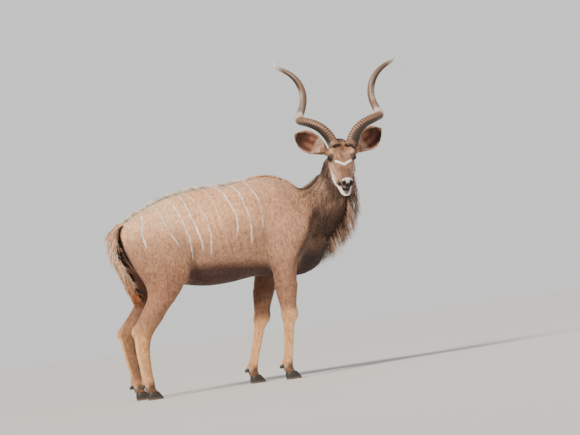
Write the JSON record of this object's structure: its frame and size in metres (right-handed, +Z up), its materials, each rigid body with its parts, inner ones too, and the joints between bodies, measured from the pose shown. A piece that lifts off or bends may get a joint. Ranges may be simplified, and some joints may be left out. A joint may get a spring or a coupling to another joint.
{
  "type": "greater kudu",
  "caption": "Life-size still model of a male greater kudu, standing with its head turned to the right, with spiral horns and a throat fringe.",
  "frame": {"origin": "middle of the bounding box on the floor, between the hooves", "axes": "+X towards the chest, +Y to the animal's left, +Z up"},
  "size_m": [2.3278, 0.8918, 2.2519],
  "materials": {
    "coat": "short matt hair, grey-brown with thin white stripes",
    "neck_hair": "longer grey-brown hair with a throat fringe",
    "face": "short matt hair, darker forehead with a white chevron",
    "leg_hair": "short tan hair",
    "tail_hair": "long tan and white hair",
    "ear_skin": "thin haired skin, reddish inside",
    "horn": "ringed horn, paler on its bends and at the tip",
    "eye": "wet dark brown",
    "hoof": "dark horn"
  },
  "bodies": {
    "root": {"ear_left": "ear_skin", "ear_right": "ear_skin", "eye_left": "eye", "eye_right": "eye", "head": "face", "hoof_front_left": "hoof", "hoof_front_right": "hoof", "hoof_hind_left": "hoof", "hoof_hind_right": "hoof", "horn_left": "horn", "horn_right": "horn", "leg_front_left": "leg_hair", "leg_front_right": "leg_hair", "leg_hind_left": "leg_hair", "leg_hind_right": "leg_hair", "neck": "neck_hair", "tail": "tail_hair", "torso": "coat"}
  },
  "joints": []
}
